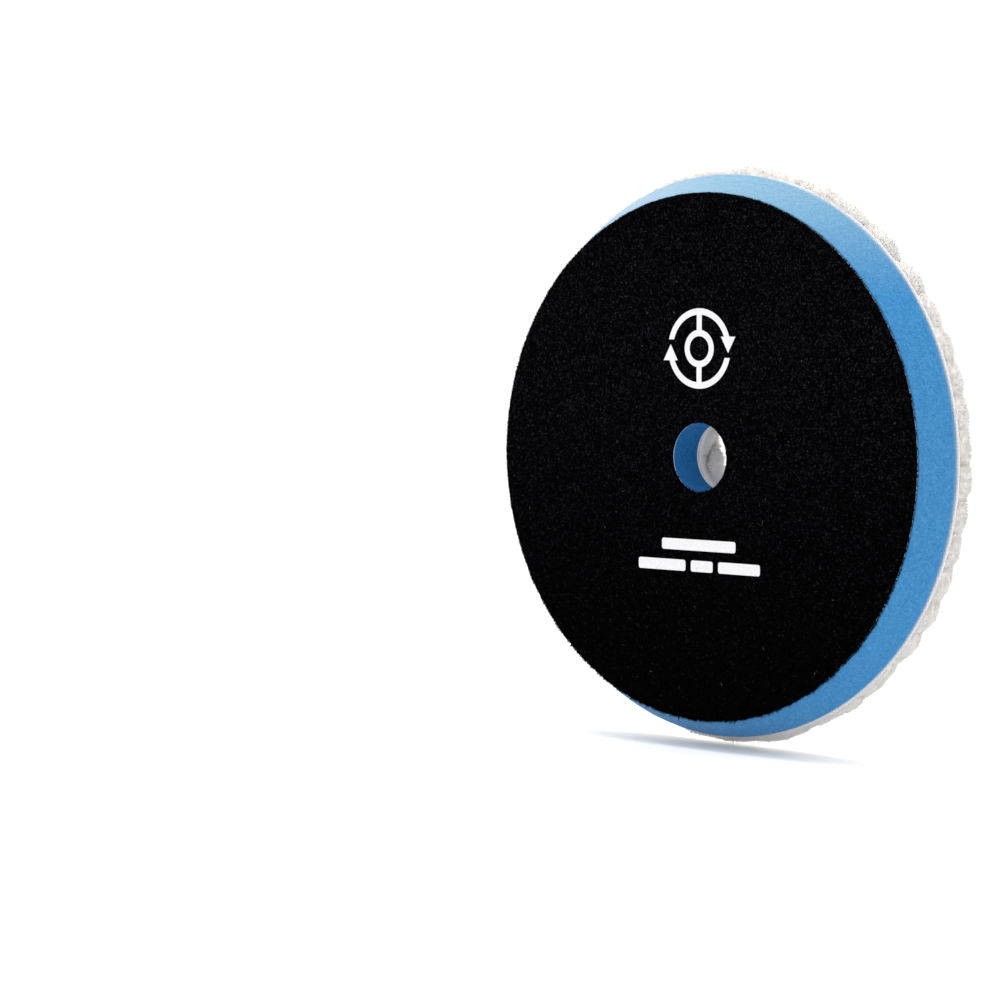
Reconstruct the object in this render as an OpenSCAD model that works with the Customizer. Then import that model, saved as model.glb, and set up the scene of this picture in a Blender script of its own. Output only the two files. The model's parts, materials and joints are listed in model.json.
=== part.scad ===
// Wool polishing pad for a car polisher, standing on its rim.
// Layers from the machine side to the paint side: loop fabric, glue, foam, glue, ground cloth, wool pile.
// The spin axis is Y. The loop face lies in the plane y = 0 and looks to +Y, and the pile looks to -Y.
// The origin is the centre of the loop face, the rows of pile run along X, and +Z is up.

/* [Loop fabric] */
// Diameter of the loop fabric, which matches the backing plate
loop_d = 150; // [120:1:180]
// Thickness of the loop fabric, pressed flat
loop_t = 0.8; // [0.6:0.1:1.5]
// Diameter of the centre hole through the fabric, the foam and the ground cloth
bore_d = 20; // [16:0.5:24]

/* [Foam] */
// Thickness of the foam between its two glue layers
foam_t = 10.4; // [6:0.1:20]
// How much further out the foam reaches than the loop fabric, on the radius
foam_flare = 5.6; // [3:0.1:9]
// Radius of the foam's rounded outer edge
foam_edge_r = 1.4; // [0.6:0.1:2.5]

/* [Wool] */
// Thickness of the woven ground cloth that holds the pile
cloth_t = 0.8; // [0.4:0.1:1.5]
// Height of the pile above its ground cloth
pile_h = 7; // [6:0.5:12]
// How far the pile bulges past the edge of the ground cloth
pile_bulge = 2.2; // [1:0.1:4]
// How far the pile leans into the centre hole, on the radius
hole_lean = 0.4; // [0.3:0.1:1]
// Number of rows that fit across the pile, with the narrow outermost rows counted as part rows
rows_across = 17.5; // [17.2:0.1:17.8]
// Width of the parting between two rows
row_gap = 0.5; // [0.2:0.1:1]
// Radius of the rounded shoulders along each row
row_shoulder_r = 2.2; // [1:0.1:3]

/* [Printed marks] */
// Diameter of the two-arrow spin mark, across the middle of its line
mark_d = 21; // [16:1:26]
// Width of the lines of the spin mark
mark_line = 1.8; // [1:0.1:2.5]
// Height of the spin mark's centre above the centre hole
mark_z = 31; // [28:0.5:36]
// Height of each printed bar
bar_h = 3.2; // [2:0.1:4]
// Length of the upper bar
bar_upper_w = 27; // [20:1:34]

/* [Hidden] */

rows = 18;
glue_t = 0.2;
print_t = 0.12;
past = 0.5;

// Depths below the loop face at which each layer starts
loop_glue_at = loop_t;
foam_at = loop_glue_at + glue_t;
wool_glue_at = foam_at + foam_t;
cloth_at = wool_glue_at + glue_t;
pile_at = cloth_at + cloth_t;
crown_at = pile_at + pile_h;

// Radii of the layers
bore_r = bore_d / 2;
loop_r = loop_d / 2;
loop_glue_r = loop_r - 0.2;
foam_top_r = loop_r + 0.2;
foam_r = loop_r + foam_flare;
wool_glue_r = foam_r - foam_edge_r - 0.2;
cloth_r = foam_r + 0.3;
pile_r = cloth_r + pile_bulge;
pile_hole_r = bore_r - hole_lean;

// The rounding from the pile's bulge to its flat crown, and the size of one row
rim_round_r = 0.8 * pile_h;
row_pitch = 2 * pile_r / rows_across;

// The lower line is three bars with gaps
bar_upper_z = -25;
bar_lower_z = -31;
bar_round_r = 0.7;
bar_gap = 2;
bar_lower_w = [17.5, 8, 15];

function total(list, count) = count == 0 ? 0 : list[count - 1] + total(list, count - 1);
function bar_lower_x(i) = total(bar_lower_w, i) + bar_gap * (i - 1) - total(bar_lower_w, 3) / 2;

// Points along an arc about [x, y], from one angle to another
function arc(x, y, r, from, to, steps) =
    [for (i = [0 : steps]) let (a = from + (to - from) * i / steps) [x + r * cos(a), y + r * sin(a)]];

// Turns a shape so that its own z is the depth below the loop face and its own y is the height
module as_layers() {
    rotate([90, 0, 0]) children();
}

// A flat round layer with the centre hole
module layer(r, from, thick) {
    as_layers() translate([0, 0, from]) difference() {
        cylinder(r = r, h = thick, $fn = 180);
        translate([0, 0, -past]) cylinder(r = bore_r, h = thick + 2 * past, $fn = 96);
    }
}

// Two arrows that chase each other round a small ring, joined to it by two spokes
module spin_mark_outline() {
    ring_r = mark_d / 2;
    hub_r = ring_r * 0.42;
    half = mark_line / 2;
    head_w = 2.6;
    head_from = 3.4;
    head_to = -1.2;
    gap_from = 3;
    gap_to = -2.6;
    translate([0, mark_z]) {
        difference() {
            circle(r = ring_r + half, $fn = 96);
            circle(r = ring_r - half, $fn = 96);
            for (turn = [0, 180]) rotate(turn)
                translate([ring_r - head_w, gap_to]) square([2 * head_w, gap_from - gap_to]);
        }
        for (turn = [0, 180]) rotate(turn) {
            polygon([[ring_r - head_w, head_from], [ring_r, head_to], [ring_r + head_w, head_from]]);
            translate([-half, hub_r]) square([mark_line, ring_r - hub_r]);
        }
        difference() {
            circle(r = hub_r + half, $fn = 64);
            circle(r = hub_r - half, $fn = 64);
        }
    }
}

// One bar with rounded corners, from its left end
module bar_outline(x, z, w) {
    r = bar_round_r;
    translate([x, z - bar_h / 2]) {
        translate([r, 0]) square([w - 2 * r, bar_h]);
        translate([0, r]) square([w, bar_h - 2 * r]);
        for (cx = [r, w - r], cz = [r, bar_h - r]) translate([cx, cz]) circle(r = r, $fn = 32);
    }
}

module bar_upper_outline() {
    bar_outline(-bar_upper_w / 2, bar_upper_z, bar_upper_w);
}

module bar_lower_outline(i) {
    bar_outline(bar_lower_x(i), bar_lower_z, bar_lower_w[i]);
}

// Print lies flush in the loop face. It reads upright from the machine side, so it is mirrored in X.
module print_film(thick = print_t, above = 0) {
    as_layers() translate([0, 0, -above]) linear_extrude(height = thick + above) mirror([1, 0]) children();
}

// Outline of the pile in section through the axis: from its hole out to the bulge and round to the crown
module pile_body() {
    rim = arc(pile_r - rim_round_r, crown_at - rim_round_r, rim_round_r, 0, 90, 6);
    rotate_extrude($fn = 180)
        polygon(concat([[pile_hole_r, crown_at], [pile_hole_r, pile_at], [cloth_r, pile_at]], rim));
}

// One straight row between two positions along X, counted from the top row down
module row(number, x_from = -pile_r - past, x_to = pile_r + past) {
    low = (rows / 2 - number) * row_pitch + row_gap / 2;
    high = low + row_pitch - row_gap;
    r = row_shoulder_r;
    section = concat(
        [[low, pile_at]],
        arc(low + r, crown_at - r, r, 180, 90, 5),
        arc(high - r, crown_at - r, r, 90, 0, 5),
        [[high, pile_at]]
    );
    color("ivory") as_layers() intersection() {
        pile_body();
        translate([x_from, 0, 0]) rotate([90, 0, 90]) linear_extrude(height = x_to - x_from) polygon(section);
    }
}

module row_left(number) {
    row(number, x_to = 0);
}

module row_right(number) {
    row(number, x_from = 0);
}

// Black brushed fabric that grips the hooks of the backing plate
module loop_fabric() {
    color("black") difference() {
        layer(loop_r, 0, loop_t);
        print_film(above = past) {
            spin_mark_outline();
            bar_upper_outline();
            for (i = [0 : 2]) bar_lower_outline(i);
        }
    }
}

module printed_spin_mark() {
    color("white") print_film() spin_mark_outline();
}

module printed_bar_upper() {
    color("white") print_film() bar_upper_outline();
}

module printed_bar_lower(i) {
    color("white") print_film() bar_lower_outline(i);
}

module loop_adhesive() {
    color("lightgray") layer(loop_glue_r, loop_glue_at, glue_t);
}

// Blue foam that widens towards the wool, with a rounded outer edge
module foam_core() {
    flare_angle = atan2(foam_r - foam_top_r, foam_t);
    edge = arc(foam_r - foam_edge_r, wool_glue_at - foam_edge_r, foam_edge_r, -flare_angle, 90, 7);
    color("steelblue") as_layers() rotate_extrude($fn = 180)
        polygon(concat([[bore_r, wool_glue_at], [bore_r, foam_at], [foam_top_r, foam_at]], edge));
}

module wool_adhesive() {
    color("lightgray") layer(wool_glue_r, wool_glue_at, glue_t);
}

module ground_cloth() {
    color("white") layer(cloth_r, cloth_at, cloth_t);
}

loop_fabric();
printed_spin_mark();
printed_bar_upper();
printed_bar_lower(0);  // printed_bar_lower_left
printed_bar_lower(1);  // printed_bar_lower_middle
printed_bar_lower(2);  // printed_bar_lower_right
loop_adhesive();
foam_core();
wool_adhesive();
ground_cloth();
row(1);  // wool_row_01
row(2);  // wool_row_02
row(3);  // wool_row_03
row(4);  // wool_row_04
row(5);  // wool_row_05
row(6);  // wool_row_06
row(7);  // wool_row_07
row(8);  // wool_row_08
row_left(9);  // wool_row_09_left
row_right(9);  // wool_row_09_right
row_left(10);  // wool_row_10_left
row_right(10);  // wool_row_10_right
row(11);  // wool_row_11
row(12);  // wool_row_12
row(13);  // wool_row_13
row(14);  // wool_row_14
row(15);  // wool_row_15
row(16);  // wool_row_16
row(17);  // wool_row_17
row(18);  // wool_row_18
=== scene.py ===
"""Looks of the wool polishing pad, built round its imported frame: pile, foam, cloth, loop fabric, print."""

import json
import math

import bpy
import numpy as np
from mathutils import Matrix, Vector
from mathutils.bvhtree import BVHTree


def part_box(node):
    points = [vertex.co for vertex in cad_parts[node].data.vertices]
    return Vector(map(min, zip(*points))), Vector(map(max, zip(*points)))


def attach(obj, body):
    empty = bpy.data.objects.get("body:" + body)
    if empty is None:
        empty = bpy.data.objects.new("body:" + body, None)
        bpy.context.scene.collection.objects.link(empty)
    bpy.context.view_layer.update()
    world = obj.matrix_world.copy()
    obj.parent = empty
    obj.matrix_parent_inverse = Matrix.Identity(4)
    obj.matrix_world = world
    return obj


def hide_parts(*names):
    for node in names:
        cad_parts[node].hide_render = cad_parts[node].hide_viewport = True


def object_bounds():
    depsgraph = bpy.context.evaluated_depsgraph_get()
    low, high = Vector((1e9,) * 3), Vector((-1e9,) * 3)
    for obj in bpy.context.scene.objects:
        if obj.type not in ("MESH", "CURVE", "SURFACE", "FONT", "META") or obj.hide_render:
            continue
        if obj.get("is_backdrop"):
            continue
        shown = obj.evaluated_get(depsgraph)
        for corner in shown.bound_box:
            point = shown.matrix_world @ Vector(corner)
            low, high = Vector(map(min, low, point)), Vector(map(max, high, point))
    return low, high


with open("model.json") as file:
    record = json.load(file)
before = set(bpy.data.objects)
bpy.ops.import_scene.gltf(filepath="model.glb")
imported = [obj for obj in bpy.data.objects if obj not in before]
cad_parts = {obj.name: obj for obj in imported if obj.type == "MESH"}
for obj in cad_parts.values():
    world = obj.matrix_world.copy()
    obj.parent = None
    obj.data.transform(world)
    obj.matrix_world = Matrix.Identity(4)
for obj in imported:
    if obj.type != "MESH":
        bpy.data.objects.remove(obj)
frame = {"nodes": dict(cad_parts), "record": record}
cad_lo, cad_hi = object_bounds()

MM = 0.001
BODY = "root"
rng = np.random.default_rng(7)

# ---------------------------------------------------------------- sizes, all from the frame

NODES = frame["nodes"]
ROW_NODES = sorted(n for n in NODES if n.startswith("wool_row_"))
PRINT_NODES = sorted(n for n in NODES if n.startswith("printed_"))
mounts = {m["name"]: m for m in frame["record"]["mounts"]}
BORE_R = mounts["centre_hole"]["dims"]["r_mm"] * MM

loop_lo, loop_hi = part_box("loop_fabric")
cloth_lo, cloth_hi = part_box("ground_cloth")
LOOP_R = loop_hi.x
CLOTH_R = cloth_hi.x
LOOP_Y = loop_hi.y
CROWN_Y = cad_lo.y
PILE_R = cad_hi.x
ROW_MIDDLES = sorted({round((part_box(n)[0].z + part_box(n)[1].z) / 2, 5) for n in ROW_NODES})
ROW_PITCH = float(np.median(np.diff(ROW_MIDDLES)))

# ---------------------------------------------------------------- numbers and noise


def smooth_step(low, high, x):
    """Rises smoothly from 0 at low to 1 at high. It falls where low is the larger of the two."""
    t = np.clip((x - low) / (high - low), 0.0, 1.0)
    return t * t * (3 - 2 * t)


def hashed(ix, iy, iz, seed):
    """A fixed number from -1 to 1 for each whole-number corner."""
    n = ix * 374761393 + iy * 668265263 + iz * 1440670441 + seed * 1274126177
    n = (n ^ (n >> 13)) & 0x7FFFFFFF
    n = (n * 1103515245 + 12345) & 0x7FFFFFFF
    n = (n ^ (n >> 15)) * 2246822519 & 0x7FFFFFFF
    return n / 0x3FFFFFFF - 1.0


def noise(points, scale, seed=0):
    """Smooth noise from -1 to 1 at points, with lumps about one scale wide."""
    q = np.asarray(points, float) / scale
    i = np.floor(q).astype(np.int64)
    f = q - i
    u = f * f * (3 - 2 * f)
    total = 0.0
    for dx in (0, 1):
        for dy in (0, 1):
            for dz in (0, 1):
                weight = (
                    np.where(dx, u[:, 0], 1 - u[:, 0])
                    * np.where(dy, u[:, 1], 1 - u[:, 1])
                    * np.where(dz, u[:, 2], 1 - u[:, 2])
                )
                total = total + weight * hashed(i[:, 0] + dx, i[:, 1] + dy, i[:, 2] + dz, seed)
    return total


def unit(v):
    """The same directions, each one unit long."""
    return v / np.maximum(np.linalg.norm(v, axis=1, keepdims=True), 1e-12)


def radius_of(points):
    """Distances from the spin axis, which is Y."""
    return np.hypot(points[:, 0], points[:, 2])


def on_face(points):
    """The same points moved along the spin axis into one plane."""
    return points * np.array([1.0, 0.0, 1.0])


def outward(points):
    """Unit vectors away from the spin axis."""
    return unit(on_face(points))


# ---------------------------------------------------------------- meshes

# A spike has three root corners and a tip
SPIKE_POINTS = 4


def mesh_arrays(mesh):
    """A mesh's vertices, triangles and vertex normals as arrays."""
    points = np.empty(len(mesh.vertices) * 3)
    mesh.vertices.foreach_get("co", points)
    normals = np.empty(len(mesh.vertices) * 3)
    mesh.vertex_normals.foreach_get("vector", normals)
    mesh.calc_loop_triangles()
    triangles = np.empty(len(mesh.loop_triangles) * 3, np.int32)
    mesh.loop_triangles.foreach_get("vertices", triangles)
    return points.reshape(-1, 3), triangles.reshape(-1, 3), normals.reshape(-1, 3)


def make_mesh(name, points, triangles):
    """A smooth-shaded mesh of triangles, from arrays."""
    mesh = bpy.data.meshes.new(name)
    mesh.vertices.add(len(points))
    mesh.vertices.foreach_set("co", np.asarray(points, np.float32).ravel())
    mesh.loops.add(3 * len(triangles))
    mesh.loops.foreach_set("vertex_index", np.asarray(triangles, np.int32).ravel())
    mesh.polygons.add(len(triangles))
    mesh.polygons.foreach_set("loop_start", np.arange(0, 3 * len(triangles), 3, dtype=np.int32))
    mesh.update(calc_edges=True)
    mesh.shade_smooth()
    return mesh


def add_piece(name, mesh, material):
    """A shown piece that rides on the pad, with the material that it is given."""
    piece = bpy.data.objects.new(name, mesh)
    bpy.context.scene.collection.objects.link(piece)
    mesh.materials.append(material)
    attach(piece, BODY)
    return piece


def normals_of(points, triangles):
    """Vertex normals of a triangle mesh."""
    a, b, c = (points[triangles[:, k]] for k in range(3))
    face = np.cross(b - a, c - a)
    normals = np.zeros_like(points)
    for k in range(3):
        np.add.at(normals, triangles[:, k], face)
    return unit(normals)


def lathe(section, segments):
    """Points and triangles of a closed section, a loop of (radius, y), turned about the spin axis."""
    section = np.asarray(section)
    rings = len(section)
    angles = np.linspace(0, 2 * math.pi, segments, endpoint=False)
    points = np.empty((segments, rings, 3))
    points[..., 0] = np.cos(angles)[:, None] * section[:, 0]
    points[..., 1] = section[:, 1]
    points[..., 2] = np.sin(angles)[:, None] * section[:, 0]
    here = np.arange(segments)[:, None] * rings + np.arange(rings)
    after = np.roll(here, -1, axis=0)
    a, b = here.ravel(), after.ravel()
    c, d = np.roll(after, -1, axis=1).ravel(), np.roll(here, -1, axis=1).ravel()
    triangles = np.concatenate([np.stack([a, b, c], 1), np.stack([a, c, d], 1)])
    return points.reshape(-1, 3), triangles


def along(start, end, step):
    """Evenly spaced points from start up to, and without, end."""
    start, end = np.array(start, float), np.array(end, float)
    count = max(1, round(float(np.linalg.norm(end - start)) / step))
    return [tuple(start + (end - start) * i / count) for i in range(count)]


def outer_profile(node):
    """A turned CAD node's outer edge as (radius, y), from its highest y to its lowest."""
    points, _, _ = mesh_arrays(NODES[node].data)
    r = radius_of(points)
    levels = sorted({round(float(y), 6) for y in points[:, 1]}, reverse=True)
    return [(float(r[np.abs(points[:, 1] - y) < 1e-6].max()), y) for y in levels]


def weighted_areas(points, triangles, weights):
    """Each triangle's area times its corners' mean weight."""
    a, b, c = (points[triangles[:, k]] for k in range(3))
    area = np.linalg.norm(np.cross(b - a, c - a), axis=1) / 2
    return area * weights[triangles].mean(axis=1)


def scatter(points, triangles, normals, weights, count):
    """count places on the mesh, spread by area times the vertex weights, with their normals."""
    edges = np.cumsum(weighted_areas(points, triangles, weights))
    picks = np.searchsorted(edges, (np.arange(count) + rng.random(count)) / count * edges[-1])
    picks = np.minimum(picks, len(triangles) - 1)
    u, v = rng.random(count), rng.random(count)
    fold = u + v > 1
    u[fold], v[fold] = 1 - u[fold], 1 - v[fold]
    w = np.stack([1 - u - v, u, v], 1)[..., None]
    chosen = triangles[picks]
    return (points[chosen] * w).sum(axis=1), unit((normals[chosen] * w).sum(axis=1))


def ring_ways(directions):
    """Three unit vectors a fibre, evenly spaced round it and turned at random."""
    side = unit(np.cross(directions, unit(rng.normal(size=directions.shape))))
    other = np.cross(directions, side)
    angles = [2 * math.pi * k / 3 for k in range(3)]
    return [side * math.cos(angle) + other * math.sin(angle) for angle in angles]


def spikes(roots, directions, lengths, widths):
    """Closed four-sided slivers, one a fibre lock: three sunk root corners and a tip."""
    count = len(roots)
    points = np.empty((count, SPIKE_POINTS, 3))
    sunk = roots - directions * (lengths * 0.15)[:, None]
    for k, way in enumerate(ring_ways(directions)):
        points[:, k] = sunk + way * (widths / 2)[:, None]
    points[:, 3] = roots + directions * lengths[:, None]
    faces = np.array([[0, 1, 3], [1, 2, 3], [2, 0, 3], [0, 2, 1]])
    triangles = (np.arange(count)[:, None, None] * SPIKE_POINTS + faces).reshape(-1, 3)
    return points.reshape(-1, 3), triangles


def hairs(roots, directions, bends, lengths, widths, steps=3):
    """Closed three-sided curved fibres that taper to a tip. bends is how far each tip is carried sideways."""
    count, tip = len(roots), 3 * steps
    points = np.empty((count, tip + 1, 3))
    ways = ring_ways(directions)
    for s in range(steps):
        t = s / steps
        middle = roots + directions * (lengths * (t - 0.05))[:, None] + bends * t * t
        for k, way in enumerate(ways):
            points[:, 3 * s + k] = middle + way * (widths / 2 * (1 - 0.6 * t))[:, None]
    points[:, tip] = roots + directions * lengths[:, None] + bends
    faces = [[0, 2, 1]]
    for s in range(steps - 1):
        for k in range(3):
            a, b = 3 * s + k, 3 * s + (k + 1) % 3
            faces += [[a, b, b + 3], [a, b + 3, a + 3]]
    faces += [[tip - 3 + k, tip - 3 + (k + 1) % 3, tip] for k in range(3)]
    triangles = (np.arange(count)[:, None, None] * (tip + 1) + np.array(faces)).reshape(-1, 3)
    return points.reshape(-1, 3), triangles


def joined(*parts):
    """Several (points, triangles) as one."""
    points, triangles, start = [], [], 0
    for p, t in parts:
        points.append(p)
        triangles.append(t + start)
        start += len(p)
    return np.concatenate(points), np.concatenate(triangles)


# ---------------------------------------------------------------- materials


def new_material(name, colour, roughness, specular=0.2, sheen=0.0):
    """A material and its shader, with the values that are the same all over set on the shader."""
    material = bpy.data.materials.new(name)
    material.use_nodes = True
    shader = material.node_tree.nodes["Principled BSDF"]
    shader.inputs["Base Color"].default_value = (*colour, 1)
    shader.inputs["Roughness"].default_value = roughness
    shader.inputs["Specular IOR Level"].default_value = specular
    shader.inputs["Sheen Weight"].default_value = sheen
    shader.inputs["Sheen Roughness"].default_value = 0.5
    return material, shader


def node(material, kind, **values):
    """A new shader node, with its own settings or its inputs set by name."""
    made = material.node_tree.nodes.new(kind)
    for name, value in values.items():
        if hasattr(made, name):
            setattr(made, name, value)
        else:
            made.inputs[name.replace("_", " ").title()].default_value = value
    return made


def link(material, source, target):
    material.node_tree.links.new(source, target)


def place_of(material):
    """The surface point in the pad's own frame."""
    return node(material, "ShaderNodeTexCoord").outputs["Object"]


def height_on_pad(material):
    """From 0 at the lowest edge of the loop face to 1 at its highest."""
    split = node(material, "ShaderNodeSeparateXYZ")
    link(material, place_of(material), split.inputs[0])
    height = node(material, "ShaderNodeMapRange", from_min=-LOOP_R, from_max=LOOP_R)
    link(material, split.outputs["Z"], height.inputs["Value"])
    return height.outputs[0]


def noise_node(material, size, detail=2.0, roughness=0.5):
    """Noise whose lumps are about size metres wide."""
    made = node(material, "ShaderNodeTexNoise", scale=1 / size, detail=detail, roughness=roughness)
    link(material, place_of(material), made.inputs["Vector"])
    return made.outputs["Fac"]


def grey(value):
    return (value, value, value)


def ramp(material, source, stops):
    """Colours along a value, from a list of (value, colour)."""
    made = node(material, "ShaderNodeValToRGB")
    elements = made.color_ramp.elements
    while len(elements) < len(stops):
        elements.new(0.5)
    for element, (place, colour) in zip(elements, stops, strict=True):
        element.position = place
        element.color = (*colour, 1)
    link(material, source, made.inputs["Fac"])
    return made.outputs["Color"]


def blend(material, factor, a, b, kind="MIX"):
    """Mixes two colours. factor is a number or a socket, and a and b are each a colour or a socket."""
    made = node(material, "ShaderNodeMix", data_type="RGBA", blend_type=kind)
    for value, socket in ((factor, made.inputs[0]), (a, made.inputs[6]), (b, made.inputs[7])):
        if isinstance(value, bpy.types.NodeSocket):
            link(material, value, socket)
        else:
            socket.default_value = value if isinstance(value, float) else (*value, 1)
    return made.outputs[2]


def bump(material, shader, height, distance, strength):
    """Tilts a shader's normal as a surface with this height would, where 1 stands for distance metres."""
    made = node(material, "ShaderNodeBump", strength=strength, distance=distance)
    link(material, height, made.inputs["Height"])
    link(material, made.outputs["Normal"], shader.inputs["Normal"])


def wool_material():
    """Cream cut wool: a little darker towards the roots, with soft patches of warmer and cooler white, and
    painted shade from its tone in the partings, the hole's fold and the upper rim.
    """
    material, shader = new_material("wool_pile", (0.8, 0.77, 0.72), 0.95, specular=0.1, sheen=0.15)
    patches = ramp(
        material,
        noise_node(material, 9 * MM, detail=3.0),
        [(0.3, (0.928, 0.896, 0.858)), (0.52, (0.945, 0.92, 0.885)), (0.72, (0.94, 0.905, 0.877))],
    )
    tone = node(material, "ShaderNodeAttribute", attribute_name="tone")
    # The warm brown at the dark end of the tone is painted shade for the fold in the hole.
    shade = ramp(
        material, tone.outputs["Fac"], [(0.0, (0.6, 0.54, 0.5)), (0.3, (0.88, 0.87, 0.86)), (0.75, grey(1.0))]
    )
    link(material, blend(material, 1.0, patches, shade, "MULTIPLY"), shader.inputs["Base Color"])
    return material


def foam_material(name, colours, painted_highlight=False):
    """Blue open-cell foam: pores as dark specks and pits, and where asked a painted highlight on its upper
    side, a paler blue and more sheen towards the top.
    """
    material, shader = new_material(name, colours[1], 0.9, specular=0.1)
    patches = ramp(
        material,
        noise_node(material, 1.1 * MM, detail=4.0, roughness=0.7),
        list(zip((0.3, 0.5, 0.7), colours, strict=True)),
    )
    if painted_highlight:
        # Painted highlight and sheen: the sheen weight changes with height on the pad and the blue turns
        # paler at the top, standing in for light falling over the upper side.
        height = height_on_pad(material)
        sheen = ramp(
            material, height, [(0.1, grey(0.12)), (0.5, grey(0.37)), (0.8, grey(0.12)), (0.97, grey(0.56))]
        )
        link(material, sheen, shader.inputs["Sheen Weight"])
        painted_highlight_fade = ramp(material, height, [(0.8, grey(0.0)), (1.0, grey(0.3))])
        patches = blend(material, painted_highlight_fade, patches, (0.3, 0.47, 0.42))
    cells = node(material, "ShaderNodeTexVoronoi", scale=1 / (0.55 * MM), randomness=1.0)
    link(material, place_of(material), cells.inputs["Vector"])
    pores = ramp(material, cells.outputs["Distance"], [(0.0, (0.36, 0.48, 0.6)), (0.4, grey(1.045))])
    link(material, blend(material, 1.0, patches, pores, "MULTIPLY"), shader.inputs["Base Color"])
    bump(material, shader, cells.outputs["Distance"], 0.12 * MM, 0.5)
    return material


def loop_material():
    """Black brushed loop fabric: almost no shine, a fine broken grain, and painted shade that darkens it
    towards the bottom of the face.
    """
    material, shader = new_material("loop_fabric", (0.002, 0.002, 0.0022), 0.95, specular=0.02)
    grain = noise_node(material, 0.8 * MM)
    colour = ramp(
        material,
        grain,
        [
            (0.42, (0.0002, 0.0002, 0.0003)),
            (0.54, (0.0005, 0.0005, 0.0008)),
            (0.66, (0.007, 0.007, 0.0105)),
            (0.78, (0.042, 0.042, 0.055)),
        ],
    )
    # Painted shade: the fabric darkens towards the bottom of the face, where the light falls off.
    nap_and_painted_shade = ramp(material, height_on_pad(material), [(0.1, grey(0.2)), (0.7, grey(1.0))])
    link(material, blend(material, 1.0, colour, nap_and_painted_shade, "MULTIPLY"), shader.inputs["Base Color"])
    bump(material, shader, grain, 0.25 * MM, 0.9)
    return material


def loop_fuzz_material():
    """The loose loops on the black fabric: most of them black, some painted grey as highlights where they
    would catch the light, and darker towards the bottom as painted shade.
    """
    material, shader = new_material("loop_fuzz", (0.004, 0.004, 0.005), 0.9, specular=0.02)
    tone = node(material, "ShaderNodeAttribute", attribute_name="tone").outputs["Fac"]
    colour = ramp(
        material,
        tone,
        [
            (0.0, (0.0002, 0.0002, 0.0004)),
            (0.5, (0.0005, 0.0005, 0.0009)),
            (0.75, (0.006, 0.006, 0.0085)),
            (1.0, (0.02, 0.02, 0.026)),
        ],
    )
    link(material, colour, shader.inputs["Base Color"])
    return material


def cloth_material():
    """White woven ground cloth: crossing threads as a fine bump and a faint shade between them."""
    material, shader = new_material("ground_cloth", (0.86, 0.86, 0.85), 0.85, specular=0.2)
    height = None
    for direction in ("X", "Z"):
        wave = node(
            material, "ShaderNodeTexWave", wave_type="BANDS", bands_direction=direction, scale=1 / (3.2 * MM)
        )
        link(material, place_of(material), wave.inputs["Vector"])
        if height is None:
            height = wave.outputs["Fac"]
        else:
            cross = node(material, "ShaderNodeMath", operation="MULTIPLY")
            link(material, height, cross.inputs[0])
            link(material, wave.outputs["Fac"], cross.inputs[1])
            height = cross.outputs[0]
    colour = ramp(material, height, [(0.0, (0.66, 0.67, 0.69)), (0.5, (0.78, 0.79, 0.8))])
    link(material, colour, shader.inputs["Base Color"])
    bump(material, shader, height, 0.1 * MM, 0.6)
    return material


def glue_material():
    """Thin pale film of glue with a slightly uneven face."""
    material, shader = new_material("adhesive", (0.7, 0.72, 0.74), 0.45, specular=0.4)
    blotches = noise_node(material, 3 * MM, detail=3.0)
    colour = ramp(material, blotches, [(0.35, (0.45, 0.55, 0.66)), (0.65, (0.6, 0.68, 0.76))])
    link(material, colour, shader.inputs["Base Color"])
    bump(material, shader, blotches, 0.1 * MM, 0.4)
    return material


def print_material():
    """White film pressed into the loops, broken here and there where black fibres show through."""
    material, shader = new_material("print_film", (0.85, 0.85, 0.85), 0.7, specular=0.3)
    grain = noise_node(material, 0.45 * MM, detail=3.0, roughness=0.7)
    colour = ramp(
        material, grain, [(0.27, grey(0.2)), (0.36, (0.62, 0.62, 0.63)), (0.7, (0.76, 0.76, 0.77))]
    )
    link(material, colour, shader.inputs["Base Color"])
    bump(material, shader, grain, 0.08 * MM, 0.6)
    return material


def lint_material():
    """Stray fibres, from dark grey to a warm middle grey."""
    material, shader = new_material("lint", (0.5, 0.49, 0.47), 0.9, specular=0.1)
    tone = noise_node(material, 4 * MM)
    colour = ramp(material, tone, [(0.35, grey(0.06)), (0.65, (0.3, 0.29, 0.28))])
    link(material, colour, shader.inputs["Base Color"])
    return material


FLOOR_GLOW = 0.1


def floor_material():
    """A pale floor that glows a little, so that shadows on it stay faint."""
    material, shader = new_material("floor", grey(0.88), 0.9, specular=0.05)
    tone = noise_node(material, 400 * MM)
    colour = ramp(material, tone, [(0.3, grey(0.855)), (0.7, grey(0.865))])
    link(material, colour, shader.inputs["Base Color"])
    shader.inputs["Emission Color"].default_value = (1, 1, 1, 1)
    shader.inputs["Emission Strength"].default_value = FLOOR_GLOW
    return material


# ---------------------------------------------------------------- wool pile

# Room left for the fibres at the crown, the rim and the hole
CROWN_ROOM = 0.45 * MM
RIM_ROOM = 1.3 * MM
HOLE_ROOM = 0.2 * MM
# How far rows' sides move into each parting, how deep their shoulders are, and how much of that is filled
CLOSING = 0.42 * MM
SHOULDER = 2.2 * MM
FILL = 0.86
# How deep the notches between the rows' ends are, and how far the rim's back moves towards the foam
NOTCH_DEPTH = 1.4 * MM
BACK_EDGE = 0.45 * MM
# How much wider the hole's mouth is, and how far at most the rows above and below reach towards it
HOLE_FLARE = 0.35 * MM
HOLE_REACH = 0.9 * MM
# The tuft that has come loose in the hole: how far it leans in, and its direction from the axis in radians
TUFT_LEAN = 3.0 * MM
TUFT_ANGLE = -0.1
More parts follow.
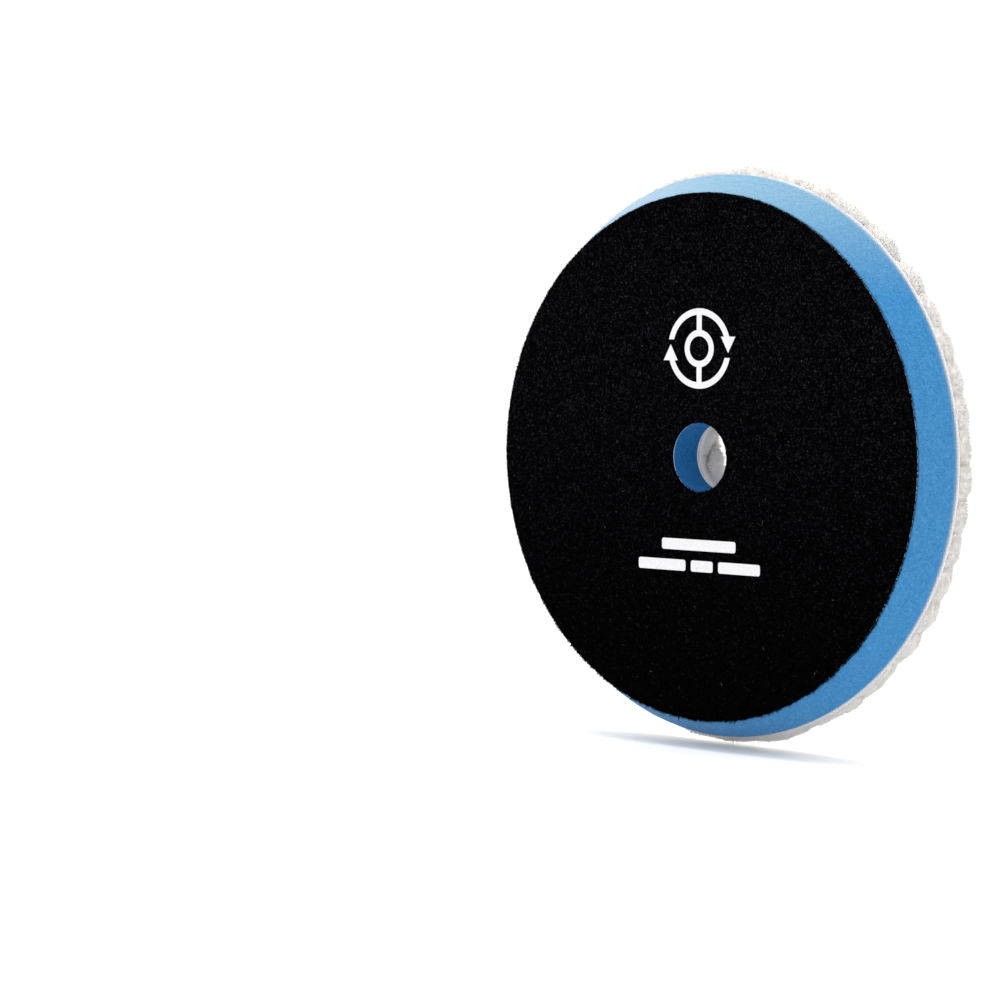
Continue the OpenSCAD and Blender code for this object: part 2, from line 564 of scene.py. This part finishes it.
# The fibres: how many, the size of their small tufts, and how much of their shading is the surface's
FIBRES_PER_MM2 = 14.0
SMALL_TUFT = 0.8 * MM
SOFTENING = 0.65
# How pale the pile is at its roots, and each lock of fibre at its three root corners and its tip
ROOT_TONE = 0.5
LOCK_TONE = (ROOT_TONE, ROOT_TONE, ROOT_TONE, 1.0)
# The cells that the CAD rows are remeshed in, and the radius of the hole that those rows leave
PILE_VOXEL = 0.7 * MM
PILE_BORE_R = min(float(radius_of(mesh_arrays(NODES[n].data)[0]).min()) for n in ROW_NODES)


def parting_distance(z):
    """How far a height is from the nearest parting between rows."""
    return np.abs((z / ROW_PITCH + 0.5) % 1.0 - 0.5) * ROW_PITCH


def nearest_parting(z):
    """The height of the parting between rows that is nearest to a height."""
    return np.round(z / ROW_PITCH) * ROW_PITCH


def relaxed(points):
    """The pile as cut: rows that meet at their partings, with shallow shoulders and room for the fibres."""
    p = points.copy()
    depth = points[:, 1] - CROWN_Y
    apart = parting_distance(points[:, 2])
    closing = CLOSING * (1 - smooth_step(0.3 * MM, 1.6 * MM, apart)) * closing_by_hole(points)
    p[:, 2] -= np.sign(points[:, 2] - nearest_parting(points[:, 2])) * closing
    p[:, 1] -= parting_fill(points)
    p[:, 1] += CROWN_ROOM * (1 - smooth_step(0.0, 5 * MM, depth))
    p -= outward(points) * rim_trim(points)[:, None]
    edge = smooth_step(PILE_R - 5 * MM, PILE_R - 3 * MM, radius_of(points))
    p[:, 1] += BACK_EDGE * edge * smooth_step(5 * MM, 7 * MM, depth)
    by_hole = smooth_step(BORE_R + 5 * MM, BORE_R + 0.5 * MM, radius_of(p))
    flare = HOLE_ROOM + HOLE_FLARE * smooth_step(2 * MM, 0.0, depth)
    p -= outward(p) * (by_hole * (hole_puff(points) - flare))[:, None]
    return p


def parting_fill(points):
    """How far the rows' shoulders rise towards the crown, so that the pile almost fills each parting."""
    depth = points[:, 1] - CROWN_Y
    apart = parting_distance(points[:, 2])
    inner = 1 - smooth_step(PILE_R - 2.5 * MM, PILE_R - 0.5 * MM, radius_of(points))
    face = on_face(points)
    fill = FILL + 0.12 * noise(face, 10 * MM, 71) + 0.09 * noise(face, 1.6 * MM, 72)
    lift = fill * np.minimum(depth, SHOULDER * (1 - smooth_step(SHOULDER, 3 * SHOULDER, depth)))
    return lift * (1 - smooth_step(0.7 * SHOULDER, 1.3 * SHOULDER, apart)) * inner


def rim_trim(points):
    """How far the rim moves in: room for the fibres, and notches where partings meet the rim at the sides."""
    r = radius_of(points)
    squeeze = RIM_ROOM * smooth_step(PILE_R - 7 * MM, PILE_R - 0.5 * MM, r)
    near_part = 1 - smooth_step(0.0, 0.42 * ROW_PITCH, parting_distance(points[:, 2]))
    along_row = np.abs(points[:, 0]) / np.maximum(r, 1e-9)
    notch = NOTCH_DEPTH * smooth_step(PILE_R - 6 * MM, PILE_R - 1 * MM, r) * near_part**1.3
    return squeeze + notch * smooth_step(0.25, 0.8, along_row)


def closing_by_hole(points):
    """How much of its closing a parting has beside the hole.

    The rows that the hole cuts keep their corners, and the rows above and below them reach towards its edge.
    """
    across, height = np.abs(points[:, 0]), np.abs(points[:, 2])
    by_corner = smooth_step(BORE_R + 2.5 * MM, BORE_R, radius_of(points))
    by_corner = by_corner * smooth_step(3 * MM, 6 * MM, height)
    hole_edge = np.sqrt(np.maximum(PILE_BORE_R**2 - across**2, 0.0))
    reach = np.minimum(ROW_PITCH + CLOSING - hole_edge, HOLE_REACH)
    beside = smooth_step(8 * MM, 4.5 * MM, across) * (height < 1.5 * ROW_PITCH)
    return np.where(height < ROW_PITCH, 1 - by_corner, 1 + beside * (reach / CLOSING - 1))


def fold_place(points):
    """How much deeper points in the hole are than the fold between the loosened tuft and the wall."""
    depth = points[:, 1] - CROWN_Y
    return depth - (5.0 - 4.0 * smooth_step(-4 * MM, 6.5 * MM, points[:, 2])) * MM


def hole_puff(points):
    """How far the pile leans into the hole: only on one side, where a tuft has come loose."""
    depth = points[:, 1] - CROWN_Y
    above = fold_place(points)
    lump = TUFT_LEAN * smooth_step(0.5 * MM, -0.9 * MM, above) * smooth_step(-1 * MM, 0.8 * MM, depth)
    lump *= smooth_step(9 * MM, -1 * MM, points[:, 2])
    wall = 0.5 * MM * smooth_step(0.2 * MM, 1.5 * MM, above) * smooth_step(7 * MM, 6 * MM, depth)
    return tuft_side(points) * (lump + wall)


def tuft_side(points):
    """From 0 to 1, how near a direction from the axis is to the loosened tuft's own."""
    away = np.abs(np.arctan2(points[:, 2], points[:, 0]) - TUFT_ANGLE)
    return smooth_step(1.25, 0.35, away)


def worn(points):
    """The relaxed pile with wavy partings, lumpy row ends and a soft, uneven crown."""
    p = points.copy()
    flat = on_face(points)
    rim = smooth_step(PILE_R - 7 * MM, PILE_R - 2 * MM, radius_of(points))
    lumps = noise(points, 5.5 * MM, 3) * 0.4 * MM + noise(flat, 17 * MM, 4) * 0.7 * MM
    p += outward(points) * (lumps * rim)[:, None]
    off_hole = smooth_step(BORE_R + 1 * MM, BORE_R + 6 * MM, radius_of(points))
    p[:, 2] += (noise(flat, 11 * MM, 5) * 0.42 * MM + noise(flat, 3.5 * MM, 6) * 0.2 * MM) * off_hole
    crown = 1 - smooth_step(0.0, 6 * MM, points[:, 1] - CROWN_Y)
    p[:, 1] += crown * (noise(flat, 14 * MM, 8) * 0.3 * MM + noise(flat, 4 * MM, 9) * 0.12 * MM)
    return p


def pile_base(node_name):
    """The CAD row remeshed finely and brought to its soft shape."""
    source = bpy.data.objects.new("pile_source", NODES[node_name].data.copy())
    bpy.context.scene.collection.objects.link(source)
    remesh = source.modifiers.new("fine", "REMESH")
    remesh.mode = "VOXEL"
    remesh.voxel_size = PILE_VOXEL
    depsgraph = bpy.context.evaluated_depsgraph_get()
    mesh = bpy.data.meshes.new_from_object(source.evaluated_get(depsgraph), depsgraph=depsgraph)
    points, triangles, _ = mesh_arrays(mesh)
    bpy.data.objects.remove(source)
    bpy.data.meshes.remove(mesh)
    points = worn(relaxed(points))
    clump = noise(points, 1.7 * MM, 11) * 0.04 * MM + noise(points, 0.9 * MM, 12) * 0.03 * MM
    points = points + normals_of(points, triangles) * clump[:, None]
    return points, triangles


def pile_weights(points, normals):
    """Where fibres grow: the crown, the rim, the hole and the upper part of each parting."""
    r = radius_of(points)
    crown = smooth_step(0.15, 0.5, -normals[:, 1])
    rim = smooth_step(CLOTH_R - 4 * MM, CLOTH_R - 2.5 * MM, r)
    radial = np.abs((normals * outward(points)).sum(axis=1))
    hole = smooth_step(3 * MM, 0.5 * MM, r - BORE_R) * smooth_step(0.3, 0.7, radial)
    part = smooth_step(3.5 * MM, 1.0 * MM, points[:, 1] - CROWN_Y) * 0.7
    return np.clip(np.maximum.reduce([crown, rim, hole, part * (normals[:, 1] < 0.4)]), 0, 1)


def fibre_zones(roots, facing):
    """How much each fibre belongs to the rim, to a parting between rows and to the hole, from 0 to 1."""
    r = radius_of(roots)
    out = (facing * outward(roots)).sum(axis=1)
    rim = smooth_step(PILE_R - 6.5 * MM, PILE_R - 3 * MM, r) * smooth_step(-0.2, 0.4, out)
    hole = smooth_step(2.5 * MM, 0.5 * MM, r - BORE_R) * smooth_step(-0.3, -0.7, out)
    near_parting = 1 - smooth_step(0.4 * MM, 1.6 * MM, parting_distance(roots[:, 2]))
    return rim, near_parting * (1 - rim) * (1 - hole), hole


def fibre_directions(roots, facing, rim, valley, hole):
    """Fibres stand up from the face, spread at the rim, and lean over the partings and into the hole."""
    count = len(roots)
    parting_way = np.zeros((count, 3))
    parting_way[:, 2] = np.sign(nearest_parting(roots[:, 2]) - roots[:, 2])
    flat = on_face(roots)
    sway = np.stack([noise(flat, 2.2 * MM, 21), noise(flat, 5 * MM, 22) * 0.3, noise(flat, 2.2 * MM, 23)], 1)
    loose = rng.normal(size=(count, 3))
    pile_way = np.array([0.0, -1.0, 0.0])
    return unit(
        facing * (0.35 + 0.5 * rim - 0.1 * valley + 0.2 * hole)[:, None]
        + pile_way * (0.9 - 0.75 * rim - 0.6 * hole + 0.1 * valley)[:, None]
        + outward(roots) * (0.15 * rim - 0.5 * hole)[:, None]
        + sway * (0.05 + 0.27 * rim + 0.4 * hole)[:, None]
        + loose * (0.05 + 0.12 * rim + 0.25 * valley)[:, None]
        + parting_way * (valley * (0.2 + 0.7 * rng.random(count)))[:, None]
        + tuft_pull(roots, facing, SMALL_TUFT) * (0.08 + 0.65 * rim)[:, None]
    )


def fibre_sizes(roots, rim, valley, hole):
    """Lengths and widths: longer at the rim, in the partings and in the hole, and a few extra long."""
    count = len(roots)
    tuft = hole * tuft_side(roots) * smooth_step(0.0, -1 * MM, fold_place(roots))
    extra = np.maximum.reduce([0.55 * rim, 0.2 * valley, 0.25 * hole + 0.6 * tuft])
    lengths = (0.5 + 0.06 * rng.normal(size=count) + extra * (0.7 + 0.8 * rng.random(count))) * MM
    lengths *= 1 + 0.15 * noise(roots, 1.3 * MM, 24)
    lengths = np.maximum(lengths, 0.2 * MM)
    long_ones = rng.random(count) < 0.003 + 0.03 * rim
    lengths[long_ones] *= 1.6
    return lengths, (0.33 + 0.1 * rng.random(count)) * MM * (1 - 0.2 * rim)


def fibre_tones(roots, rim, valley, hole):
    """How pale each fibre is: a little darker at random, with painted shade in the partings, in the hole's
    fold and on the upper rim.
    """
    count = len(roots)
    # Darker at random, and darker still in the partings between rows: painted shade where shade falls.
    tone = 1 - 0.08 * rng.random(count) - 0.06 * valley * rng.random(count) ** 2
    tone -= fold_shade(roots) * hole
    # Painted shade: the upper rim is darker, so that the light from above does not wash it out.
    return tone * (1 - 0.5 * rim * smooth_step(0.25 * PILE_R, 0.9 * PILE_R, roots[:, 2]))


def wool_row(node_name, material):
    """One row of pile: a soft core with thousands of tapering locks of fibre."""
    points, triangles = pile_base(node_name)
    normals = normals_of(points, triangles)
    weights = pile_weights(points, normals)
    grown_area = float(weighted_areas(points, triangles, weights).sum())
    roots, facing = scatter(points, triangles, normals, weights, int(grown_area / MM**2 * FIBRES_PER_MM2))
    zones = fibre_zones(roots, facing)
    directions = fibre_directions(roots, facing, *zones)
    lengths, widths = fibre_sizes(roots, *zones)
    locks = spikes(roots, directions, lengths, widths)
    mesh = make_mesh(node_name + "_pile", *joined((points, triangles), locks))
    soften(mesh, len(points), np.concatenate([normals, np.repeat(facing, SPIKE_POINTS, axis=0)]))
    lock_tone = np.outer(fibre_tones(roots, *zones), LOCK_TONE).ravel()
    set_tone(mesh, np.concatenate([ROOT_TONE * (1 - fold_shade(points)), lock_tone]))
    map_flat(mesh, np.concatenate([points, np.repeat(roots, SPIKE_POINTS, axis=0)]))
    piece = add_piece(node_name + "_pile", mesh, material)
    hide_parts(node_name)
    return piece


def fold_shade(points):
    """How dark the fold inside the hole makes the fibres, from 0 to 1."""
    near = 1 - smooth_step(0.2 * MM, 1.2 * MM, np.abs(fold_place(points) - 0.1 * MM))
    inside = smooth_step(BORE_R + 2 * MM, BORE_R + 0.5 * MM, radius_of(points)) * tuft_side(points)
    return near * inside * smooth_step(1 * MM, 2 * MM, points[:, 1] - CROWN_Y)


def tuft_pull(roots, facing, size):
    """How far each fibre leans along the surface towards the middle of its own tuft, from -1 to 1."""
    cell = np.floor(roots / size).astype(np.int64)
    jitter = np.stack([hashed(*cell.T, seed) for seed in (61, 62, 63)], 1)
    pull = (cell + 0.5 + 0.4 * jitter) - roots / size
    return pull - facing * (pull * facing).sum(axis=1, keepdims=True)


def soften(mesh, base_count, facing):
    """Turns the fibres' shading normals part of the way to those of the surface that they stand on."""
    own = np.empty(len(mesh.vertices) * 3)
    mesh.vertex_normals.foreach_get("vector", own)
    own = own.reshape(-1, 3)
    mixed = unit(own * (1 - SOFTENING) + facing * SOFTENING)
    mixed[:base_count] = own[:base_count]
    mesh.normals_split_custom_set_from_vertices(mixed)


def set_tone(mesh, values):
    """A value from 0, dark, to 1, pale, for each vertex."""
    layer = mesh.attributes.new("tone", "FLOAT", "POINT")
    layer.data.foreach_set("value", np.clip(values, 0, 1).astype(np.float32))


def map_flat(mesh, places):
    """A plain UV map named OFBake, laid over the piece as seen along the spin axis."""
    low, high = places.min(axis=0), places.max(axis=0)
    uv = np.stack(
        [(places[:, 0] - low[0]) / (high[0] - low[0]), (places[:, 2] - low[2]) / (high[2] - low[2])], 1
    )
    corner = np.empty(len(mesh.loops), np.int32)
    mesh.loops.foreach_get("vertex_index", corner)
    layer = mesh.uv_layers.new(name="OFBake")
    layer.data.foreach_set("uv", (uv[corner] * 0.98 + 0.01).astype(np.float32).ravel())


# ---------------------------------------------------------------- foam, cloth and loop fabric


# The foam's blues on its outside and in its bore, each from the darkest patches to the palest. The bore's
# darker blues are painted shade for the recess.
OUTER_BLUES = [(0.024, 0.15, 0.345), (0.033, 0.182, 0.39), (0.05, 0.222, 0.44)]
SHADED_BORE_BLUES = [(0.01, 0.105, 0.29), (0.014, 0.125, 0.325), (0.022, 0.15, 0.36)]
# How many segments the turned pieces have, and the step between points on the foam's hidden flat faces
FOAM_SEGMENTS = 1080
RING_SEGMENTS = 720
HIDDEN_STEP = 14 * MM


def foam_piece(material, shaded_bore_material):
    """The foam turned finely from the CAD section, with pores pitted into its cut sides and a bore in darker
    blues, painted shade.
    """
    profile = outer_profile("foam_core")
    outer = []
    for start, end in zip(profile, profile[1:]):
        outer += along(start, end, 0.4 * MM)
    top_y, low_y = profile[0][1], profile[-1][1]
    section = (
        outer
        + along(profile[-1], (BORE_R, low_y), HIDDEN_STEP)
        + along((BORE_R, low_y), (BORE_R, top_y), 0.5 * MM)
        + along((BORE_R, top_y), profile[0], HIDDEN_STEP)
    )
    points, triangles = lathe(section, FOAM_SEGMENTS)
    normals = normals_of(points, triangles)
    side = smooth_step(0.25, 0.6, np.abs((normals * outward(points)).sum(axis=1)))
    pits = noise(points, 0.9 * MM, 31) * 0.03 * MM + noise(points, 0.5 * MM, 32) * 0.035 * MM
    swell = noise(points, 22 * MM, 33) * 0.12 * MM
    points += normals * (side * (pits + swell - 0.03 * MM))[:, None]
    mesh = make_mesh("foam_body", points, triangles)
    piece = add_piece("foam_body", mesh, material)
    # The bore's faces take the darker blues: painted shade.
    mesh.materials.append(shaded_bore_material)
    in_bore = radius_of(points)[triangles].max(axis=1) < BORE_R + 1 * MM
    mesh.polygons.foreach_set("material_index", in_bore.astype(np.int32))
    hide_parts("foam_core")
    return piece


def ring_section(inner, outer, high, low, step):
    """The loop of (radius, y) round a flat ring's section, with a point every step."""
    corners = [(outer, high), (outer, low), (inner, low), (inner, high)]
    section = []
    for start, end in zip(corners, corners[1:] + corners[:1]):
        section += along(start, end, step)
    return section


def cloth_piece(material):
    """The woven ground cloth, with a cut edge that is thinner and slightly uneven."""
    section = ring_section(BORE_R, CLOTH_R, cloth_hi.y, cloth_lo.y, 0.8 * MM)
    points, triangles = lathe(section, RING_SEGMENTS)
    edge = smooth_step(CLOTH_R - 2 * MM, CLOTH_R, radius_of(points))
    under = points[:, 1] < (cloth_lo.y + cloth_hi.y) / 2
    points[:, 1] += edge * under * 0.4 * MM
    points += outward(points) * (edge * (noise(points, 3 * MM, 41) * 0.1 - 0.15) * MM)[:, None]
    mesh = make_mesh("ground_cloth_weave", points, triangles)
    piece = add_piece("ground_cloth_weave", mesh, material)
    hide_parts("ground_cloth")
    return piece


# How far the fabric's ground lies under the print, and how far from a print its loops keep clear
LOOP_SINK = 0.06 * MM
PRINT_MARGIN = 0.35 * MM
# How many fibres each of the face's two pieces starts with, before those on the print are left out, and how
# many the edge, the hole's mouth and the lint have. EDGE_FIBRE and MOUTH_FIBRE are middling lengths.
FACE_FIBRES = 46000
EDGE_FIBRES, EDGE_FIBRE = 7000, 0.6 * MM
MOUTH_FIBRES, MOUTH_FIBRE = 900, 0.35 * MM
LINT_FIBRES = 40


def loop_sheet(material):
    """The loop fabric's ground: a ring of brushed fabric with a fine uneven nap."""
    section = ring_section(BORE_R, LOOP_R, loop_hi.y, loop_lo.y, 0.62 * MM)
    points, triangles = lathe(section, RING_SEGMENTS)
    face = smooth_step(0.4 * (loop_lo.y + loop_hi.y), loop_hi.y, points[:, 1])
    nap_and_painted_shade = noise(points, 0.9 * MM, 51) * 0.035 * MM + noise(points, 2.4 * MM, 52) * 0.02 * MM
    points[:, 1] += face * (nap_and_painted_shade - LOOP_SINK)
    rounding = smooth_step(LOOP_R - 0.7 * MM, LOOP_R, radius_of(points))
    points[:, 1] -= rounding * face * 0.2 * MM
    points -= outward(points) * (rounding * (1 - face) * 0.25 * MM)[:, None]
    mesh = make_mesh("loop_fabric_ground", points, triangles)
    piece = add_piece("loop_fabric_ground", mesh, material)
    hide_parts("loop_fabric")
    return piece


def print_tree(node_name):
    """A printed mark's box, and a tree that finds the nearest point of its surface."""
    mesh = NODES[node_name].data
    corners, faces = [v.co for v in mesh.vertices], [p.vertices for p in mesh.polygons]
    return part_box(node_name), BVHTree.FromPolygons(corners, faces)


def on_print(x, z, trees):
    """Is this place on the loop face on a printed mark, or very near one?"""
    for (low, high), tree in trees:
        near_x = low.x - PRINT_MARGIN < x < high.x + PRINT_MARGIN
        near_z = low.z - PRINT_MARGIN < z < high.z + PRINT_MARGIN
        if near_x and near_z:
            distance = tree.find_nearest(Vector((x, high.y, z)))[3]
            if distance is not None and distance < PRINT_MARGIN:
                return True
    return False


def loop_fuzz(material, name, count, turn):
    """Short loose fibres all over the loop face, apart from the print. turn is added to their angles."""
    r = np.sqrt(rng.uniform(BORE_R**2, LOOP_R**2, count))
    angle = rng.random(count) * 2 * math.pi + turn
    trees = [print_tree(n) for n in PRINT_NODES]
    x, z = r * np.cos(angle), r * np.sin(angle)
    clear = np.array([not on_print(a, b, trees) for a, b in zip(x, z)])
    x, z = x[clear], z[clear]
    count = len(x)
    roots = np.stack([x, np.full(count, LOOP_Y - LOOP_SINK), z], 1)
    lying = rng.random(count) * 2 * math.pi
    lift = 0.25 + 0.5 * rng.random(count)
    directions = unit(np.stack([np.cos(lying), lift, np.sin(lying)], 1))
    lengths = (0.3 + 0.3 * rng.random(count)) * MM
    widths = (0.2 + 0.15 * rng.random(count)) * MM
    mesh = make_mesh(name, *spikes(roots, directions, lengths, widths))
    # Painted highlights: random grey fibres stand in for fibres catching the light.
    painted_light = 0.5 + 0.6 * noise(roots, 0.85 * MM, 53) + 0.3 * rng.normal(size=count)
    # Painted shade: the fibres darken towards the bottom of the face, where the light falls off.
    painted_light -= 0.4 * smooth_step(0.3 * LOOP_R, -0.9 * LOOP_R, roots[:, 2])
    set_tone(mesh, np.repeat(painted_light, SPIKE_POINTS))
    map_flat(mesh, np.repeat(roots, SPIKE_POINTS, axis=0))
    return add_piece(name, mesh, material)


def edge_fuzz(material, name, radius, count, length, out_way):
    """Short fibres that stick out of a round cut edge of the loop fabric, longest at its lowest part."""
    angle = rng.random(count) * 2 * math.pi
    height = rng.uniform(loop_lo.y, loop_hi.y - 0.1 * MM, count)
    roots = np.stack([radius * np.cos(angle), height, radius * np.sin(angle)], 1)
    loose = rng.normal(size=(count, 3)) * 0.45
    directions = unit(outward(roots) * out_way + loose)
    lengths = length * (0.4 + rng.random(count)) * (1 + 0.7 * noise(roots, 1.4 * MM, 54))
    lengths *= 0.4 + 0.85 * smooth_step(0.0, -0.9 * radius, roots[:, 2])
    widths = (0.16 + 0.1 * rng.random(count)) * MM
    bends = rng.normal(size=(count, 3)) * (lengths * 0.25)[:, None]
    mesh = make_mesh(name, *hairs(roots, directions, bends, lengths, widths, steps=2))
    points_each = len(mesh.vertices) // count
    set_tone(mesh, np.repeat(rng.random(count) * 0.8, points_each))
    map_flat(mesh, np.repeat(roots, points_each, axis=0))
    return add_piece(name, mesh, material)


def lint_piece(material):
    """A few stray grey fibres caught on the black loops."""
    count = LINT_FIBRES
    r = np.sqrt(rng.uniform((BORE_R + 3 * MM) ** 2, (LOOP_R - 3 * MM) ** 2, count))
    angle = rng.random(count) * 2 * math.pi
    roots = np.stack([r * np.cos(angle), np.full(count, LOOP_Y + 0.12 * MM), r * np.sin(angle)], 1)
    lying = rng.random(count) * 2 * math.pi
    directions = unit(np.stack([np.cos(lying), 0.12 + 0.1 * rng.random(count), np.sin(lying)], 1))
    lengths = (0.3 + 1.1 * rng.random(count) ** 2) * MM
    sideways = np.cross(directions, np.array([0.0, 1.0, 0.0]))
    bends = sideways * (lengths * rng.normal(size=count) * 0.35)[:, None]
    mesh = make_mesh("lint", *hairs(roots, directions, bends, lengths, np.full(count, 0.1 * MM)))
    return add_piece("lint", mesh, material)


def finish_nodes(names, material):
    """Gives CAD solids that are shown as they are their material."""
    for name in names:
        NODES[name].data.materials.clear()
        NODES[name].data.materials.append(material)


# ---------------------------------------------------------------- stage, light and camera

# Angles in degrees, the pad's place in frame widths, the lamp's power in watts, and sizes in metres
CAMERA_AZIMUTH, CAMERA_ELEVATION = 219.4, 2.6
CAMERA_DISTANCE = 0.84
FRAME_WIDTH = 0.285
PAD_RIGHT, PAD_UP = 0.1985, 0.043
FLOOR_SIZE = 12.0
LAMP_PLACE, LAMP_SIZE, LAMP_POWER = (0.1, 0.0, 1.4), 1.2, 12
BACKDROP_STRENGTH = 1.36


def camera_axes():
    """Unit vectors from the pad to the camera, and to the picture's right and top."""
    a, e = math.radians(CAMERA_AZIMUTH), math.radians(CAMERA_ELEVATION)
    back = Vector((math.sin(a) * math.cos(e), -math.cos(a) * math.cos(e), math.sin(e)))
    right = Vector((math.cos(a), math.sin(a), 0))
    return back, right, back.cross(right)


def make_camera():
    """The camera sees the loop face at a slant, with the pad a fifth of the frame right of the middle."""
    back, right, up = camera_axes()
    data = bpy.data.cameras.new("camera")
    data.sensor_width = 36
    data.lens = data.sensor_width * CAMERA_DISTANCE / FRAME_WIDTH
    data.clip_start, data.clip_end = 0.05, 50
    camera = bpy.data.objects.new("camera", data)
    bpy.context.scene.collection.objects.link(camera)
    camera.location = back * CAMERA_DISTANCE
    aim = (right * -PAD_RIGHT - up * PAD_UP) * FRAME_WIDTH
    camera.rotation_euler = (aim - camera.location).to_track_quat("-Z", "Y").to_euler()
    bpy.context.scene.camera = camera


def make_floor(material):
    """A wide floor at the visual model's lowest point."""
    half = FLOOR_SIZE / 2
    corners = [(-half, -half, 0), (half, -half, 0), (half, half, 0), (-half, half, 0)]
    mesh = bpy.data.meshes.new("floor")
    mesh.from_pydata(corners, [], [(0, 1, 2, 3)])
    mesh.materials.append(material)
    floor = bpy.data.objects.new("floor", mesh)
    floor.location.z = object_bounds()[0].z
    bpy.context.scene.collection.objects.link(floor)
    floor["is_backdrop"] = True


def make_lamp():
    """A broad round lamp above the pad, aimed at it."""
    data = bpy.data.lights.new("top", "AREA")
    data.shape = "DISK"
    data.size = LAMP_SIZE
    data.energy = LAMP_POWER
    lamp = bpy.data.objects.new("top", data)
    lamp.location = LAMP_PLACE
    lamp.rotation_euler = (-Vector(LAMP_PLACE)).to_track_quat("-Z", "Y").to_euler()
    bpy.context.scene.collection.objects.link(lamp)


def make_backdrop():
    """Plain studio light from all round, a quarter dimmer from the sides and from below."""
    world = bpy.data.worlds.new("studio")
    bpy.context.scene.world = world
    world.use_nodes = True
    backdrop = world.node_tree.nodes["Background"]
    height = node(world, "ShaderNodeSeparateXYZ")
    link(world, node(world, "ShaderNodeTexCoord").outputs["Generated"], height.inputs[0])
    colour = ramp(world, height.outputs["Z"], [(0.12, grey(0.75)), (0.6, grey(1))])
    link(world, colour, backdrop.inputs["Color"])
    backdrop.inputs["Strength"].default_value = BACKDROP_STRENGTH


# ---------------------------------------------------------------- the pad

make_camera()
wool = wool_material()
for row_node in ROW_NODES:
    wool_row(row_node, wool)
foam_piece(foam_material("foam", OUTER_BLUES, painted_highlight=True), foam_material("foam_bore_painted_shade", SHADED_BORE_BLUES))
cloth_piece(cloth_material())
sheet_piece = loop_sheet(loop_material())
fuzz_look = loop_fuzz_material()
fuzz_pieces = [
    loop_fuzz(fuzz_look, "loop_fuzz_a", FACE_FIBRES, 0.0),
    loop_fuzz(fuzz_look, "loop_fuzz_b", FACE_FIBRES, 1.0),
    edge_fuzz(fuzz_look, "loop_edge_fuzz", LOOP_R, EDGE_FIBRES, EDGE_FIBRE, 1.0),
    edge_fuzz(fuzz_look, "loop_mouth_fuzz", BORE_R, MOUTH_FIBRES, MOUTH_FIBRE, -1.0),
]
lint_piece(lint_material())
finish_nodes(PRINT_NODES, print_material())
finish_nodes(("loop_adhesive", "wool_adhesive"), glue_material())

make_floor(floor_material())
make_backdrop()
make_lamp()
bpy.context.scene.view_settings.view_transform = "Standard"
